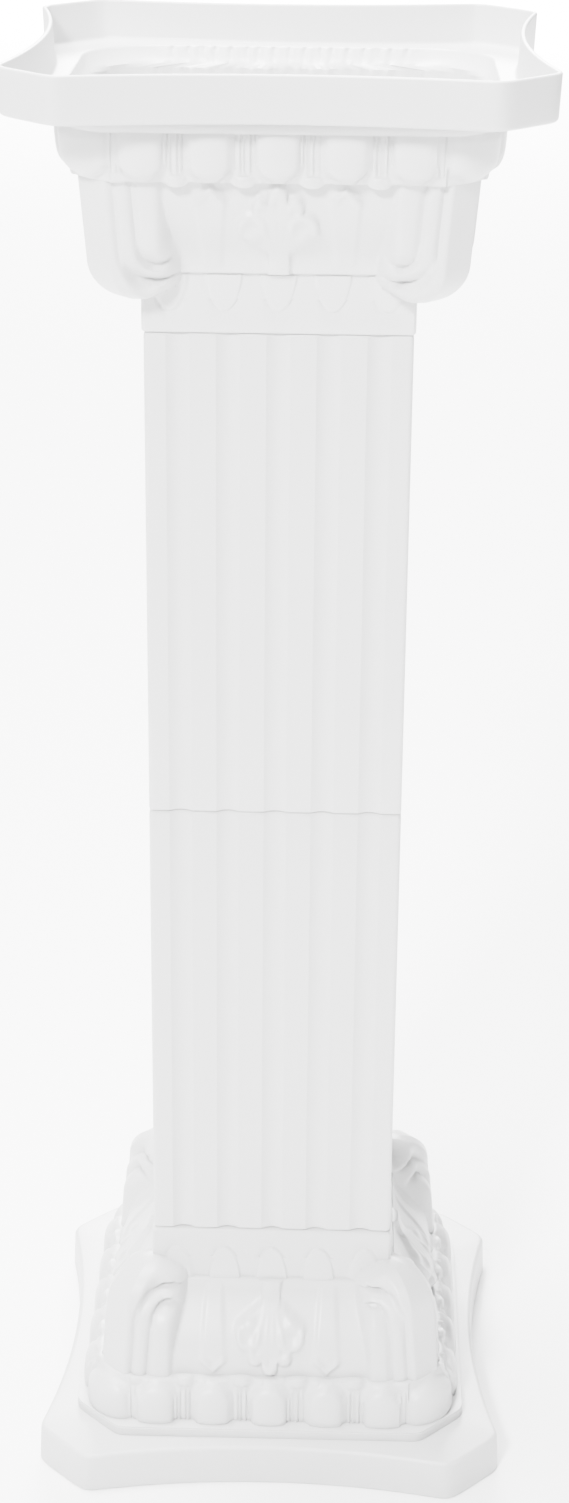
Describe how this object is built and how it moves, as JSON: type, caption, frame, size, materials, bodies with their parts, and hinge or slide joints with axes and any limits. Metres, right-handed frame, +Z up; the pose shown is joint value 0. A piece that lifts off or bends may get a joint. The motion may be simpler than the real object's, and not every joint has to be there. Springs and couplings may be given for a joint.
{
  "type": "column vase stand",
  "caption": "Free-standing square fluted column with an egg-and-dart capital, an inverted capital as foot and an open tray on top that holds a vase or pot.",
  "frame": {"origin": "centre of the underside of the foot's rim, on the floor", "axes": "+Z up along the column, +X and +Y square to the shaft's faces, -Y towards the pictured front"},
  "size_m": [0.295, 0.295, 0.8809],
  "materials": {
    "base": "white moulded plastic with a soft satin sheen",
    "lower_shaft": "white moulded plastic with a soft satin sheen",
    "upper_shaft": "white moulded plastic with a soft satin sheen",
    "capital": "white moulded plastic with a soft satin sheen"
  },
  "bodies": {
    "root": {"base": "base", "lower_shaft": "lower_shaft", "upper_shaft": "upper_shaft", "capital": "capital"}
  },
  "joints": []
}
